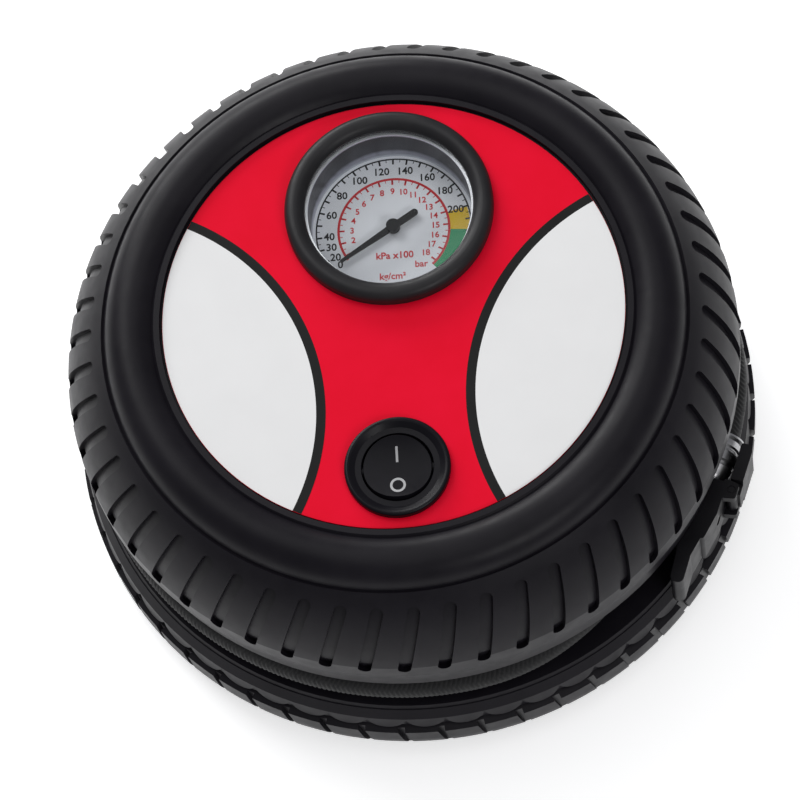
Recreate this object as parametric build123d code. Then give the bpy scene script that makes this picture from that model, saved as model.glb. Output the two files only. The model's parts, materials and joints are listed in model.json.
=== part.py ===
from build123d import *
import math
import os

# A small 12 V air compressor shaped like a car tyre lying flat. The origin is the centre of the
# footprint on the surface it stands on, +Z is up, +Y points from the switch to the gauge.

# Case, in millimetres
face_z = 72.0
label_thickness = 0.6
label_radius = 51.2
recess_radius = 51.8
lip_radius = 53.1
lip_z = 73.0
edge_radius = 64.9
edge_z = 69.7
upper_radius = 75.6
upper_widest_z = 50.6
step_z = 45.8
upper_bottom_z = 36.5
upper_bottom_radius = 73.9
lower_top_z = 23.3
lower_top_radius = 74.4
lower_radius = 78.0
base_z = 2.2
base_radius = 66.0
wall = 2.2
drum_radius = 64.5
drum_inner_radius = 62.2
tread_count = 54
slot_width = 2.9
slot_top = (67.6, 67.3)
slot_bottom = (75.6, 48.2)
slot_depth = 1.3
slot_skew = 12.0
notch_width = 1.6
notch_depth = 1.2
scallop_radius = 4.65
scallop_centre_z = 21.25
foot_circle = 45.0
foot_radius = 6.5
case_screw_circle = 49.0
case_screw_angles = (60, 120, 240, 300)
screw_radius = 1.45

# Pressure gauge
gauge_y = 25.1
bezel_radius = 23.3
bezel_top_z = 75.6
gauge_opening = 18.8
gauge_case_radius = 19.9
gauge_case_bottom = 44.5
dial_z = 61.8
gauge_tube_z = 51.9
sector_z = 55.5
needle_length = 14.3
needle_tail = 6.6
needle_zero_deg = 213.0
movement_module = 0.4
spindle_teeth = 12
sector_teeth = 60

# Rocker switch
switch_y = -37.3
switch_bezel_radius = 11.6
switch_body_radius = 9.8
switch_well_radius = 7.9
rocker_ball_radius = 7.65
rocker_pivot_z = 71.2
rocker_travel_deg = 12.0

# Drive
gear_module = 0.8
gear_teeth = 56
pinion_teeth = 14
gear_x = 4.5
gear_bottom_z = 22.5
gear_thickness = 5.0
gear_play = 0.1
tooth_backlash = 0.12
motor_direction_deg = 195.0
motor_radius = 14.0
motor_bottom_z = 30.6
motor_can_top = 61.0
motor_cap_top = 64.6
motor_shaft_radius = 1.15
axle_radius = 2.0
plate_bottom_z = 28.5
plate_thickness = 2.0
running_gap = 0.05

# Pump
bore_axis_z = 18.5
bore_radius = 9.0
crank_radius = 6.0
rod_length = 36.0
rod_thickness = 4.6
cylinder_start = 30.0
cylinder_end = 52.0
head_end = 56.6
port_x = 54.6
piston_length = 8.0

# Hose, its exit through the groove wall, and the chuck
hose_radius = 4.25
hose_z = 29.8
hose_wrap_radius = 71.2
hose_step_deg = 18.0
chuck_x = 69.9
chuck_y = -17.5
chuck_along = (-0.315, -0.949)
chuck_bottom_z = 24.0
chuck_height = 11.8
ferrule_radius = 4.75
valve_radius = 3.85
ferrule_grip = 6.0

os.makedirs("parts", exist_ok=True)

gauge_spot = (0, gauge_y)
switch_spot = (0, switch_y)
centre_distance = gear_module * (gear_teeth + pinion_teeth) / 2 + gear_play
motor_x = gear_x + centre_distance * math.cos(math.radians(motor_direction_deg))
motor_y = centre_distance * math.sin(math.radians(motor_direction_deg))
gear_top_z = gear_bottom_z + gear_thickness
plate_top_z = plate_bottom_z + plate_thickness
crank_x = gear_x + crank_radius
wrist_x = crank_x + rod_length
sector_distance = movement_module * (spindle_teeth + sector_teeth) / 2 + running_gap


def disc(radius, low, high, spot=(0, 0)):
    """An upright cylinder between two heights."""
    return Pos(spot[0], spot[1], (low + high) / 2) * Cylinder(radius, high - low)


def ring(outer, inner, low, high, spot=(0, 0)):
    """An upright tube between two heights."""
    return disc(outer, low, high, spot) - disc(inner, low, high, spot)


def rod_along_x(radius, start, end, y=0.0, z=bore_axis_z):
    """A cylinder lying along X."""
    return Pos((start + end) / 2, y, z) * Rot(0, 90, 0) * Cylinder(radius, end - start)


def block(x_span, y_span, z_span):
    """A box from its low and high sides."""
    spans = (x_span, y_span, z_span)
    middle = [(low + high) / 2 for low, high in spans]
    return Pos(*middle) * Box(*[high - low for low, high in spans])


def on_circle(radius, angle_deg):
    """A point on a circle about the origin."""
    angle = math.radians(angle_deg)
    return (radius * math.cos(angle), radius * math.sin(angle))


def around(shape, count, first=0.0):
    """Copies of a shape, spread evenly about the Z axis."""
    return [Rot(0, 0, first + i * 360 / count) * shape for i in range(count)]


def turned(line_maker):
    """A solid turned about Z from an outline of radius and height."""
    with BuildPart() as part:
        with BuildSketch(Plane.XZ):
            with BuildLine():
                line_maker()
            make_face()
        revolve(axis=Axis.Z)
    return part.part


def round_tube(points, radius):
    """A round tube along straight runs joined by large arcs, and its smallest bend radius."""
    places = [Vector(*p) for p in points]
    radii = []
    for before, here, after in zip(places, places[1:], places[2:]):
        turn = math.radians((here - before).get_angle(after - here))
        shorter = min((here - before).length, (after - here).length)
        radii.append(0.45 * shorter / math.tan(turn / 2))
    path = FilletPolyline(*places, radius=radii)
    start = Plane(origin=path @ 0, z_dir=path % 0)
    return sweep(start * Circle(radius), path=path), path.length, min(radii)


def hull_of(faces):
    """The face that a band stretched round several flat faces would enclose."""
    return make_hull([edge for face in faces for edge in face.edges()])


def gear_face(module, teeth, addendum, dedendum, backlash, turn_deg=0.0):
    """An external gear's outline, with one tooth centred at turn_deg."""
    pitch = module * teeth / 2
    pressure = math.radians(20)
    base = pitch * math.cos(pressure)
    tip = pitch + addendum * module
    root = pitch - dedendum * module
    half_tooth = (math.pi * module / 2 - backlash) / (2 * pitch)
    involute = math.tan(pressure) - pressure

    def half_angle(radius):
        slope = math.acos(min(1.0, base / radius))
        return half_tooth + involute - (math.tan(slope) - slope)

    start = max(base, root)
    flank = [start, (start + pitch) / 2, pitch, tip]
    corners = []
    for i in range(teeth):
        centre = math.radians(turn_deg) + 2 * math.pi * i / teeth
        rising = [(root, -half_angle(start))] + [(r, -half_angle(r)) for r in flank]
        both = rising + [(r, -angle) for r, angle in reversed(rising)]
        corners += [(r * math.cos(centre + a), r * math.sin(centre + a)) for r, a in both]
    kept = [p for p, q in zip(corners, corners[1:] + corners[:1]) if math.dist(p, q) > 1e-4]
    return make_face(Polyline(*kept, close=True))


# ---------------------------------------------------------------- case


tread_curve = [(edge_radius + 0.4, edge_z), (72.3, 60.6), (upper_radius, upper_widest_z)]


def upper_outline():
    """The upper half's section: face recess, lip, bulging sidewall, tread, band and flange."""
    recess_z = face_z - label_thickness
    Polyline(
        (0, recess_z),
        (recess_radius, recess_z),
        (recess_radius, lip_z),
        (lip_radius, lip_z),
        (lip_radius + 0.5, lip_z - 0.5),
    )
    ThreePointArc((lip_radius + 0.5, lip_z - 0.5), (59.0, 74.5), (edge_radius - 0.5, edge_z + 0.4))
    Polyline((edge_radius - 0.5, edge_z + 0.4), (edge_radius - 0.1, edge_z - 0.3), tread_curve[0])
    ThreePointArc(*tread_curve)
    Polyline(
        (upper_radius, upper_widest_z),
        (upper_radius, step_z),
        (upper_radius - 0.6, step_z - 0.5),
        (upper_bottom_radius, upper_bottom_z),
        (drum_inner_radius, upper_bottom_z),
        (drum_inner_radius, upper_bottom_z + wall),
        (upper_bottom_radius - wall, upper_bottom_z + wall),
        (upper_radius - wall, step_z),
        (upper_radius - wall, upper_widest_z),
    )
    inner_edge = (edge_radius - 3.0, recess_z - wall)
    ThreePointArc((upper_radius - wall, upper_widest_z), (69.8, 60.0), inner_edge)
    Polyline(inner_edge, (0, recess_z - wall), (0, recess_z))


def tread_core():
    """What the slots leave inside: the tread's own curve, one slot depth further in."""
    centre = ThreePointArc(*tread_curve).arc_center
    sunk = []
    for r, z in tread_curve:
        inward = Vector(centre.X - r, centre.Y - z).normalized() * slot_depth
        sunk.append((r + inward.X, z + inward.Y))

    def outline():
        ThreePointArc(*sunk)
        Polyline(sunk[-1], (upper_radius - slot_depth, 40), (60, 40), (60, edge_z), sunk[0])

    return turned(outline)


def tread_slots():
    """The slanted slots of the upper tread, round at both ends and of one depth."""
    top = Vector(slot_top[0], 0, slot_top[1])
    bottom = Vector(slot_bottom[0], 0, slot_bottom[1])
    down = (bottom - top).normalized()
    outward = Vector(-down.Z, 0, down.X)
    skewed = down.rotate(Axis((0, 0, 0), outward), -slot_skew)
    plane = Plane(origin=(top + bottom) * 0.5 - outward * 2, x_dir=skewed, z_dir=outward)
    slot = extrude(plane * SlotOverall((bottom - top).length, slot_width), amount=6)
    return around(slot - tread_core(), tread_count, 360 / tread_count / 2)


def upper_shell():
    body = turned(upper_outline)
    body -= tread_slots()
    body -= disc(gauge_case_radius + 0.4, 60, 80, gauge_spot)
    body -= disc(switch_body_radius + 0.3, 60, 80, switch_spot)
    under_face = face_z - label_thickness - wall
    for angle in case_screw_angles:
        spot = on_circle(case_screw_circle, angle)
        body += ring(4.0, screw_radius, 24.6, under_face + 0.5, spot)
    return body


def lower_outline():
    """The lower half's section: flange, band, dark line, tread, sidewall and floor."""
    Polyline(
        (drum_inner_radius, lower_top_z),
        (lower_top_radius, lower_top_z),
        (75.9, 20.4),
        (76.3, 16.4),
        (75.7, 16.1),
        (75.9, 15.8),
        (lower_radius, 15.2),
        (lower_radius, 11.0),
    )
    ThreePointArc((lower_radius, 11.0), (76.6, 6.4), (73.0, 3.4))
    Polyline((73.0, 3.4), (base_radius + 0.6, base_z), (base_radius, base_z + 0.5), (base_radius - 0.6, base_z))
    ThreePointArc((base_radius - 0.6, base_z), (60.0, 1.0), (54.0, base_z + 0.3))
    Polyline(
        (54.0, base_z + 0.3),
        (53.2, base_z + 0.9),
        (0, base_z + 0.9),
        (0, base_z + 0.9 + wall),
        (72.0, base_z + 0.9 + wall),
        (74.4, 9.4),
        (74.0, 15.4),
        (73.6, 19.4),
        (72.6, lower_top_z - wall),
        (drum_inner_radius, lower_top_z - wall),
        (drum_inner_radius, lower_top_z),
    )


def scallop_band():
    """A raised band below the groove whose lower edge hangs in a row of shallow scallops."""
    low = scallop_centre_z - scallop_radius - 0.05
    band = turned(
        lambda: Polyline(
            (74.2, lower_top_z - 0.9), (75.1, lower_top_z - 0.9), (76.6, 20.2), (77.1, low), (74.8, low), close=True
        )
    )
    return band - around(scallop_gap(), tread_count)


def scallop_gap():
    """The pointed gap between two scallops, as the tool that cuts it, at azimuth zero."""
    half = math.pi * 77.1 / tread_count

    def edge_z_at(y):
        return scallop_centre_z - math.sqrt(scallop_radius**2 - (half - y) ** 2)

    wide = half - 0.18
    corners = [(wide, edge_z_at(wide)), (half / 2, edge_z_at(half / 2)), (0, edge_z_at(0))]
    mirrored = [(-y, z) for y, z in reversed(corners)]
    sides = [
        ThreePointArc(*corners),
        ThreePointArc(*mirrored),
        Polyline(mirrored[-1], (-wide, 14.0), (wide, 14.0), corners[0]),
    ]
    outline = make_face(Wire([edge for side in sides for edge in side.edges()]))
    return Pos(70, 0, 0) * extrude(Plane.YZ * outline, amount=10)


def notch_cutter():
    """One gap between two tread blocks of the lower half."""
    slanted = Rot(12, 0, 0) * Box(2 * notch_depth, notch_width, 16.0)
    return Pos(lower_radius, 0, 8.8) * slanted


def lower_shell():
    body = turned(lower_outline)
    body += scallop_band()
    body -= around(notch_cutter(), tread_count)
    floor_top = base_z + 0.9 + wall
    for angle in case_screw_angles:
        spot = on_circle(case_screw_circle, angle)
        body += disc(4.6, base_z + 1.2, 24.2, spot)
        body -= disc(screw_radius + 0.2, 0, 30, spot)
        body -= disc(3.2, 0, 6.0, spot)
    for x, y in plate_posts:
        body += ring(3.4, screw_radius - 0.2, floor_top - 0.5, plate_bottom_z, (x, y))
    for angle in (45, 135, 225, 315):
        body -= disc(3.0, 0, base_z + 2.0, on_circle(foot_circle, angle))
    body -= disc(4.2, 0, 10.0, gland_spot)
    return body


def hose_drum():
    """The groove's wall between the halves, with the slanted port that the hose leaves by."""
    body = ring(drum_radius, drum_inner_radius, lower_top_z + 0.05, upper_bottom_z - 0.05)
    return body - round_tube(hose_points[:5], hose_radius + 0.5)[0]


def face_plate():
    body = disc(label_radius, face_z - label_thickness + 0.02, face_z)
    body -= disc(gauge_case_radius + 0.6, 60, 80, gauge_spot)
    return body - disc(switch_body_radius + 0.4, 60, 80, switch_spot)


def case_screws():
    screws = []
    for angle in case_screw_angles:
        spot = on_circle(case_screw_circle, angle)
        head = disc(3.0, 3.9, 5.9, spot) - Pos(spot[0], spot[1], 4.2) * Box(0.7, 3.6, 1.4)
        head -= Pos(spot[0], spot[1], 4.2) * Box(3.6, 0.7, 1.4)
        screws.append(head + disc(screw_radius - 0.05, 5.8, 38.0, spot))
    return Compound(screws)


def rubber_feet():
    feet = []
    for angle in (45, 135, 225, 315):
        spot = on_circle(foot_circle, angle)
        pad = disc(foot_radius, 0, base_z + 0.88, spot)
        pad = chamfer(pad.edges().group_by(Axis.Z)[0], 0.6)
        feet.append(pad + disc(2.9, base_z, base_z + 1.9, spot))
    return Compound(feet)


# ---------------------------------------------------------------- gauge


def gauge_bezel():
    def outline():
        low = face_z + 0.03
        Polyline(
            (gauge_opening, 66.4),
            (gauge_case_radius + 0.2, 66.4),
            (gauge_case_radius + 0.2, low),
            (bezel_radius, low),
            (bezel_radius, low + 1.9),
        )
        ThreePointArc((bezel_radius, low + 1.9), (bezel_radius - 0.7, bezel_top_z - 0.5), (bezel_radius - 2.2, bezel_top_z))
        ThreePointArc((bezel_radius - 2.2, bezel_top_z), (gauge_opening + 0.9, bezel_top_z - 0.5), (gauge_opening, 73.9))
        Line((gauge_opening, 73.9), (gauge_opening, 66.4))

    return Pos(0, gauge_y, 0) * turned(outline)


def gauge_rim():
    return ring(gauge_opening - 0.02, 18.3, dial_z + 0.02, 72.4, gauge_spot)


def gauge_lens():
    body = disc(gauge_opening - 0.03, 72.42, 73.6, gauge_spot)
    return chamfer(body.edges().group_by(Axis.Z)[-1], 0.3)


def gauge_dial():
    return disc(gauge_opening - 0.05, dial_z - 0.6, dial_z, gauge_spot) - disc(1.0, dial_z - 1, dial_z + 1, gauge_spot)


def gauge_case():
    body = ring(gauge_case_radius, gauge_case_radius - 0.8, gauge_case_bottom, 66.35, gauge_spot)
    body += disc(gauge_case_radius, gauge_case_bottom, gauge_case_bottom + 0.8, gauge_spot)
    return body - disc(2.55, gauge_case_bottom - 1, gauge_case_bottom + 1, gauge_spot)


def gauge_socket():
    """The brass stem behind the gauge, with a hose barb to the side and the tube's anchor on top."""
    x, y = gauge_spot
    barb_z = gauge_tube_z - 13.4
    body = disc(2.5, barb_z - 2.0, gauge_tube_z - 4.4, gauge_spot)
    body += Pos(x, y, gauge_tube_z - 2.9) * Box(6.0, 5.0, 3.0)
    body += rod_along_x(1.6, x, x + 9.0, y, barb_z)
    body += rod_along_x(2.0, x + 5.0, x + 5.8, y, barb_z) + rod_along_x(2.0, x + 7.2, x + 8.0, y, barb_z)
    body -= disc(0.8, barb_z - 1.0, gauge_tube_z - 3.4, gauge_spot)
    return body - rod_along_x(0.8, x, x + 10.0, y, barb_z)


def gauge_bourdon_tube():
    """The C-shaped tube that straightens under pressure."""
    arc = CenterArc((0, 0), 12.5, -88, 262)
    loop = sweep(Plane(origin=arc @ 0, z_dir=arc % 0) * Circle(1.3), path=arc)
    tail = block((-1.6, 1.6), (-14.0, -2.6), (-1.3, 1.3))
    return Pos(gauge_spot[0], gauge_y, gauge_tube_z) * (loop + tail)


def gauge_movement_plate():
    """The plate that carries the sector and the spindle, on two stand-offs from the case."""
    low = sector_z - 1.4
    body = block((-6.0, 6.0), (gauge_y - 18.0, gauge_y + 5.0), (low, low + 0.8))
    for y in (gauge_y - 16.6, gauge_y + 3.6):
        for x in (-4.6, 4.6):
            body += disc(1.1, gauge_case_bottom + 0.8, low + 0.2, (x, y))
    body -= disc(0.6 + running_gap, low - 1, low + 2, gauge_spot)
    return body + disc(0.7, low + 0.4, low + 4.0, (0, gauge_y - sector_distance))


def gauge_sector():
    """The toothed sector that turns the needle's spindle."""
    pivot = Pos(0, gauge_y - sector_distance, 0)
    wheel = extrude(gear_face(movement_module, sector_teeth, 0.8, 1.0, 0.06, 90.0), amount=1.2)
    outer = movement_module * sector_teeth / 2 + 1
    start = 90 - 60.0
    arc_points = [on_circle(outer * 1.2, start + i * 10) for i in range(8)]
    wedge = extrude(make_face(Polyline((0, -1.5), *arc_points, close=True)), amount=1.2)
    body = (wheel & wedge) + disc(2.2, 0, 1.2)
    body -= disc(0.7 + running_gap, -1, 3)
    return pivot * Pos(0, 0, sector_z) * body


def gauge_spindle():
    """The needle's shaft with its small pinion."""
    tooth_turn = -90.0 + 180.0 / spindle_teeth
    pinion = extrude(gear_face(movement_module, spindle_teeth, 0.8, 1.0, 0.06, tooth_turn), amount=2.0)
    shaft = disc(0.6, sector_z - 2.1, dial_z + 0.9)
    return Pos(0, gauge_y, 0) * (Pos(0, 0, sector_z - 0.3) * pinion + shaft)


def gauge_needle():
    """A tapering pointer with a straight round-ended tail, at its zero mark."""
    pointer = make_face(Polyline((1, 0.8), (needle_length, 0.35), (needle_length, -0.35), (1, -0.8), close=True))
    tail = Pos(0.4 - needle_tail / 2, 0) * SlotOverall(needle_tail + 0.8, 1.6)
    blade = extrude(pointer + tail, amount=0.4)
    hub = disc(1.55, -0.1, 1.5)
    placed = Pos(0, gauge_y, dial_z + 1) * Rot(0, 0, needle_zero_deg) * (Pos(0, 0, 0.3) * blade + hub)
    return placed - disc(0.6, dial_z - 1, dial_z + 0.9, gauge_spot)


# ---------------------------------------------------------------- switch


def switch_housing():
    def outline():
        low = face_z + 0.03
        Polyline(
            (switch_well_radius, 57.0),
            (switch_body_radius, 57.0),
            (switch_body_radius, low),
            (switch_bezel_radius, low),
            (switch_bezel_radius, low + 0.9),
        )
        ThreePointArc((switch_bezel_radius, low + 0.9), (11.4, 73.7), (10.9, 73.9))
        Polyline(
            (10.9, 73.9),
            (10.5, 73.75),
            (9.3, 72.95),
            (switch_well_radius + 0.1, 72.95),
            (switch_well_radius, 72.8),
            (switch_well_radius, 57.0),
        )

    body = turned(outline) + disc(switch_body_radius, 55.0, 57.2)
    body -= rod_along_x(1.25, -9.2, 9.2, 0, rocker_pivot_z)
    return Pos(0, switch_y, 0) * body


def switch_rocker():
    """The paddle, dished to a shallow curve, tipped to its off side, with two trunnions."""
    top = ThreePointArc((-9, 4.4), (0, 1.9), (9, 4.4))
    sides = Polyline((9, 4.4), (9, -4.0), (-9, -4.0), (-9, 4.4))
    outline = make_face(Wire([*top.edges(), *sides.edges()]))
    paddle = extrude(Plane.YZ * outline, amount=9, both=True)
    paddle = paddle & Sphere(rocker_ball_radius)
    paddle += rod_along_x(1.2, -9.1, 9.1, 0, 0)
    paddle += disc(2.4, -6.0, -2.0)
    paddle -= disc(1.25, -7.0, -1.5)
    return Pos(0, switch_y, rocker_pivot_z) * Rot(rocker_travel_deg / 2, 0, 0) * paddle


def switch_spring_pin():
    """The sprung pin under the paddle that snaps over the contact."""
    pin = disc(1.2, -11.6, -1.6) + Pos(0, 0, -11.6) * Sphere(1.2)
    return Pos(0, switch_y, rocker_pivot_z) * Rot(rocker_travel_deg / 2, 0, 0) * pin


def switch_contact():
    """The rocking contact strip on the floor of the housing, a shallow V of brass."""
    strip = [(-5.6, 2.0), (0, 0), (5.6, 2.0), (5.6, 2.5), (0, 0.5), (-5.6, 2.5)]
    body = extrude(Plane.YZ * make_face(Polyline(*strip, close=True)), amount=2.2, both=True)
    return Pos(0, switch_y, 57.3) * body


def switch_terminals():
    blades = []
    for y in (switch_y - 4.5, switch_y + 4.5):
        blade = block((-2.4, 2.4), (y - 0.4, y + 0.4), (47.0, 54.95))
        blades.append(blade - Pos(0, y, 49.5) * Rot(90, 0, 0) * Cylinder(0.9, 3))
    return Compound(blades)


# ---------------------------------------------------------------- motor and gears

motor_spot = (motor_x, motor_y)
gear_spot = (gear_x, 0.0)
plate_posts = ((-40.0, -25.0), (-28.0, 21.0), (23.0, 27.5), (23.0, -27.5))
gland_spot = (0.0, 46.0)


def motor_can():
    body = ring(motor_radius, motor_radius - 1, motor_bottom_z, motor_can_top, motor_spot)
    body += disc(motor_radius, motor_bottom_z, motor_bottom_z + 1, motor_spot)
    body += disc(4.8, plate_bottom_z + 0.2, motor_bottom_z, motor_spot)
    return body - disc(motor_shaft_radius + running_gap, 20, 40, motor_spot)


def motor_end_cap():
    body = disc(motor_radius, motor_can_top + 0.02, motor_cap_top - 1.2, motor_spot)
    body += disc(5.0, motor_can_top, motor_cap_top, motor_spot)
    return body - disc(motor_shaft_radius + running_gap, 55, motor_cap_top - 0.8, motor_spot)


def motor_magnets():
    whole = ring(motor_radius - 1.05, 11.6, 34.0, 57.0, motor_spot)
    gap = Pos(motor_x, motor_y, 45.5) * Box(9.0, 40.0, 30.0)
    return Compound((whole - gap).solids())


def motor_armature():
    """Three wound poles on the shaft."""
    core = disc(4.2, 37.0, 54.0)
    for angle in (90, 210, 330):
        core += Rot(0, 0, angle) * block((0, 9.0), (-1.8, 1.8), (37.0, 54.0))
        shoe = ring(11.0, 9.0, 37.0, 54.0) & (Rot(0, 0, angle) * block((0, 20), (-8.2, 8.2), (30, 60)))
        core += shoe
        core += Rot(0, 0, angle) * block((4.4, 8.6), (-3.6, 3.6), (36.0, 55.0))
    return Pos(motor_x, motor_y, 0) * (core - disc(motor_shaft_radius, 30, 60))


def motor_commutator():
    body = ring(3.0, motor_shaft_radius, 56.0, 60.4)
    for angle in (30, 150, 270):
        body -= Rot(0, 0, angle) * block((2.2, 4.0), (-0.2, 0.2), (55, 61))
    return Pos(motor_x, motor_y, 0) * body


def motor_terminals():
    tabs = []
    for side in (-1, 1):
        x = motor_x + side * 9.0
        tabs.append(block((x - 0.3, x + 0.3), (motor_y - 1.5, motor_y + 1.5), (motor_cap_top - 1.18, 68.0)))
    return Compound(tabs)


def motor_pinion():
    tooth_turn = motor_direction_deg + 180.0 + 180.0 / pinion_teeth
    wheel = gear_face(gear_module, pinion_teeth, 0.85, 1.15, tooth_backlash, tooth_turn)
    body = extrude(wheel, amount=gear_thickness) - disc(motor_shaft_radius, -1, 9)
    return Pos(motor_x, motor_y, gear_bottom_z) * body


def drive_gear():
    """The large gear, with a hub, lightening holes and a seat for the crank pin."""
    wheel = gear_face(gear_module, gear_teeth, 0.85, 1.15, tooth_backlash, motor_direction_deg)
    body = extrude(wheel, amount=gear_thickness)
    body -= ring(19.0, 9.5, 3.2, gear_thickness + 1)
    body -= [disc(3.2, -1, 9, on_circle(14.0, a)) for a in (60, 120, 180, 240, 300)]
    body -= disc(3.6, -1, 9)
    body -= disc(1.5, -1, 3.0, (crank_radius, 0))
    return Pos(gear_x, 0, gear_bottom_z) * body


def gear_bush():
    return ring(3.6, axle_radius + running_gap, gear_bottom_z, gear_top_z, gear_spot)


def gear_axle():
    """The fixed steel axle under the plate, with a groove for its clip."""
    body = disc(axle_radius, 21.3, plate_top_z, gear_spot) + disc(3.4, plate_top_z, plate_top_z + 1.2, gear_spot)
    body += disc(3.4, gear_top_z + 0.3, plate_bottom_z - 0.02, gear_spot)
    return body - ring(axle_radius + 1, axle_radius - 0.4, 21.7, 22.2, gear_spot)


def gear_clip():
    body = ring(3.4, axle_radius - 0.38, 21.72, 22.18, gear_spot)
    return body - block((gear_x, gear_x + 5), (-1.0, 1.0), (21, 23))


def crank_pin():
    return disc(1.5, bore_axis_z + rod_thickness / 2 + 0.3, gear_bottom_z + 3.0, (crank_x, 0))


def gearbox_frame():
    """The steel bracket that holds the motor, the axle and the cylinder."""
    outline = [
        Pos(motor_x, motor_y) * Circle(16.0),
        Pos(gear_x, 0) * Circle(12.0),
        Pos(22.0, 0) * Rectangle(13.0, 34.0),
    ]
    sheet = hull_of(outline)
    for x, y in plate_posts:
        anchor = Pos(gear_x * 0.5, y * 0.45) * Circle(4.5)
        if x < 0:
            anchor = Pos(x * 0.7, y * 0.4) * Circle(4.5)
        sheet += hull_of([Pos(x, y) * Circle(4.2), anchor])
    for x, y in plate_posts:
        sheet -= Pos(x, y) * Circle(screw_radius + 0.15)
    sheet -= Pos(motor_x, motor_y) * Circle(5.0)
    sheet -= Pos(gear_x, 0) * Circle(axle_radius)
    body = Pos(0, 0, plate_bottom_z) * extrude(sheet, amount=plate_thickness)
    ear = block((cylinder_start - 1.8, cylinder_start - 0.02), (-16.5, 16.5), (7.5, plate_bottom_z + 0.5))
    ear -= rod_along_x(9.6, 20, 40)
    body += ear
    for y in (-13.6, 13.6):
        for z in (11.5, 25.5):
            body -= rod_along_x(screw_radius, 20, 40, y, z)
    return body


def frame_screws():
    screws = []
    for x, y in plate_posts:
        head = disc(2.9, plate_top_z + 0.02, plate_top_z + 1.8, (x, y))
        shank = disc(screw_radius - 0.25, 18.0, plate_top_z + 0.1, (x, y))
        slot = block((x - 2.0, x + 2.0), (y - 0.35, y + 0.35), (plate_top_z + 1.0, plate_top_z + 2))
        screws.append(head + shank - slot)
    return Compound(screws)


# ---------------------------------------------------------------- pump


def connecting_rod():
    half = rod_thickness / 2
    big = disc(4.6, bore_axis_z - half, bore_axis_z + half, (crank_x, 0))
    small = disc(3.4, bore_axis_z - half, bore_axis_z + half, (wrist_x, 0))
    web = block((crank_x, wrist_x), (-2.2, 2.2), (bore_axis_z - 1.6, bore_axis_z + 1.6))
    body = big + small + web
    body -= disc(1.5 + running_gap, 10, 30, (crank_x, 0))
    return body - disc(1.5, 10, 30, (wrist_x, 0))


def wrist_pin():
    return disc(1.49, bore_axis_z - 6.4, bore_axis_z + 6.4, (wrist_x, 0))


def piston():
    start = wrist_x - 3.4
    body = rod_along_x(bore_radius - 0.2, start, start + piston_length)
    body -= block((start - 1, wrist_x + 3.6), (-3.9, 3.9), (bore_axis_z - 2.5, bore_axis_z + 2.5))
    body -= disc(1.5, bore_axis_z - 6.5, bore_axis_z + 6.5, (wrist_x, 0))
    groove = rod_along_x(bore_radius + 1, start + 6.0, start + 7.4) - rod_along_x(7.4, start + 5, start + 8)
    return body - groove


def piston_seal():
    start = wrist_x - 3.4
    whole = rod_along_x(bore_radius - running_gap, start + 6.02, start + 7.38)
    return whole - rod_along_x(7.42, start + 5, start + 9)


def cylinder():
    body = rod_along_x(11.2, cylinder_start, cylinder_end)
    for i in range(5):
        fin = cylinder_start + 5.0 + i * 3.4
        body += rod_along_x(13.0, fin, fin + 1.2)
    body += block((cylinder_start, cylinder_start + 2.4), (-16.5, 16.5), (8.5, 28.3))
    body += rod_along_x(13.0, cylinder_end - 1.6, cylinder_end)
    body -= rod_along_x(bore_radius, 20, 70)
    for y in (-13.6, 13.6):
        for z in (11.5, 25.5):
            body -= rod_along_x(screw_radius, 20, 40, y, z)
    for y, z in head_bolts:
        body -= rod_along_x(1.05, cylinder_end - 6.0, 70, y, z)
    return body


head_bolts = [(11.2 * math.cos(math.radians(a)), bore_axis_z + 11.2 * math.sin(math.radians(a))) for a in (35, 145, 215, 325)]


def valve_plate():
    body = rod_along_x(13.0, cylinder_end + 0.02, cylinder_end + 0.8)
    body -= rod_along_x(1.4, 40, 60)
    for y, z in head_bolts:
        body -= rod_along_x(1.1, 40, 70, y, z)
    return body


def valve_reed():
    """A thin steel flap over the outlet port."""
    start = cylinder_end + 0.82
    body = block((start, start + 0.25), (-2.0, 2.0), (bore_axis_z - 6.0, bore_axis_z + 2.4))
    return body


def cylinder_head():
    start = cylinder_end + 0.82
    body = rod_along_x(13.0, start, head_end)
    body -= rod_along_x(7.6, start - 1, start + 2.0)
    for y, z in head_bolts:
        body -= rod_along_x(1.1, 40, 70, y, z)
    top = bore_axis_z + 13.0
    body += disc(1.6, top - 1.0, top + 5.0, (port_x, 0))
    body += disc(1.95, top + 2.6, top + 3.4, (port_x, 0))
    side = Pos(port_x, -10.4, 28.0) * Rot(90, 0, 0) * Cylinder(1.6, 6.4)
    return body + side


def head_screws():
    screws = []
    for y, z in head_bolts:
        shank = rod_along_x(1.0, cylinder_end - 5.5, head_end + 0.1, y, z)
        head = rod_along_x(1.9, head_end + 0.02, head_end + 1.5, y, z)
        screws.append(shank + head)
    return Compound(screws)


# ---------------------------------------------------------------- air line and leads


def tube_with_bore(points, radius, bore):
    outer, length, bend = round_tube(points, radius)
    inner, _, _ = round_tube(points, bore)
    return outer - inner, length, bend


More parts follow.
